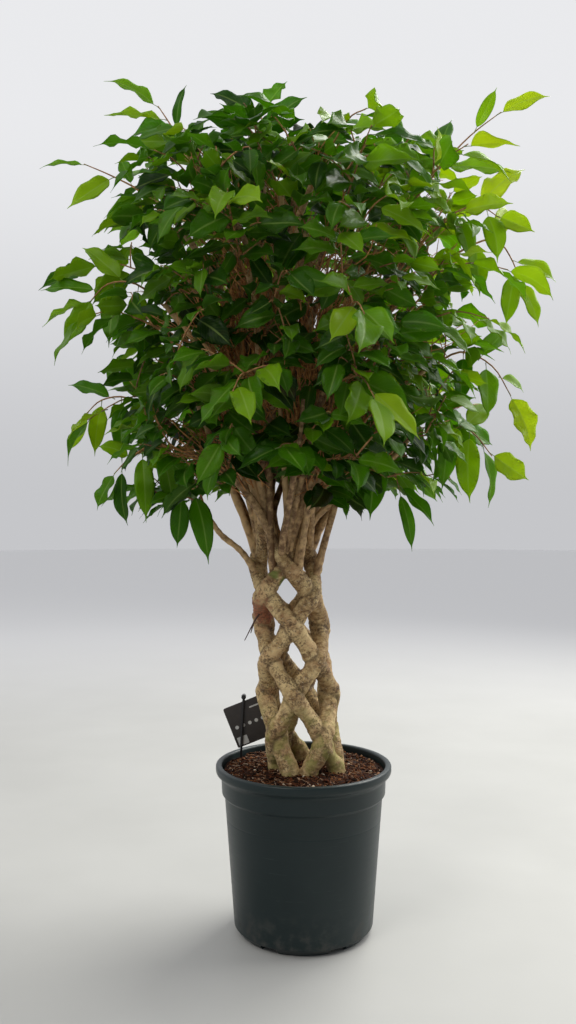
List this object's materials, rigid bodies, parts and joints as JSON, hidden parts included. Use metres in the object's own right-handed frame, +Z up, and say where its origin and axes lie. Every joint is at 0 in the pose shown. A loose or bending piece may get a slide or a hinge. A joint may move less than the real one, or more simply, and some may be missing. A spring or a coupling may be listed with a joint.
{
  "type": "potted weeping fig",
  "caption": "Weeping fig with a mop of glossy leaves on stems woven into an open cylinder, in a round nursery pot filled with soil.",
  "frame": {"origin": "centre of the pot's flat underside, where it stands", "axes": "+Z up along the pot's axis, -Y towards the side that the reference view shows"},
  "size_m": [0.7799, 0.6844, 1.2387],
  "materials": {
    "pot_plastic": "satin dark green-grey moulded plastic",
    "soil_mix": "loose dark brown coir and peat, rough",
    "bark": "pale tan bark with fine ridges and brown specks",
    "leaf": "glossy dark green leaves, yellow-green when young",
    "label_card": "smooth charcoal card with a bare pale patch and dots",
    "stake_plastic": "black moulded plastic"
  },
  "bodies": {
    "root": {"pot": "pot_plastic", "soil": "soil_mix", "trunk": "bark", "plant_label": "label_card", "label_stake": "stake_plastic", "spray_00": "leaf", "spray_01": "leaf", "spray_02": "leaf", "spray_03": "leaf", "spray_04": "leaf", "spray_05": "leaf", "spray_06": "leaf", "spray_07": "leaf", "spray_08": "leaf", "spray_09": "leaf", "spray_10": "leaf", "spray_11": "leaf", "spray_12": "leaf", "spray_13": "leaf", "spray_14": "leaf", "spray_15": "leaf", "spray_16": "leaf", "spray_17": "leaf", "spray_18": "leaf", "spray_19": "leaf", "spray_20": "leaf", "spray_21": "leaf", "spray_22": "leaf", "spray_23": "leaf", "spray_24": "leaf", "spray_25": "leaf", "spray_26": "leaf", "spray_27": "leaf", "spray_28": "leaf", "spray_29": "leaf", "spray_30": "leaf", "spray_31": "leaf", "spray_32": "leaf", "spray_33": "leaf", "spray_34": "leaf", "spray_35": "leaf", "spray_36": "leaf", "spray_37": "leaf", "spray_38": "leaf", "spray_39": "leaf", "spray_40": "leaf", "spray_41": "leaf", "spray_42": "leaf", "spray_43": "leaf"}
  },
  "joints": []
}
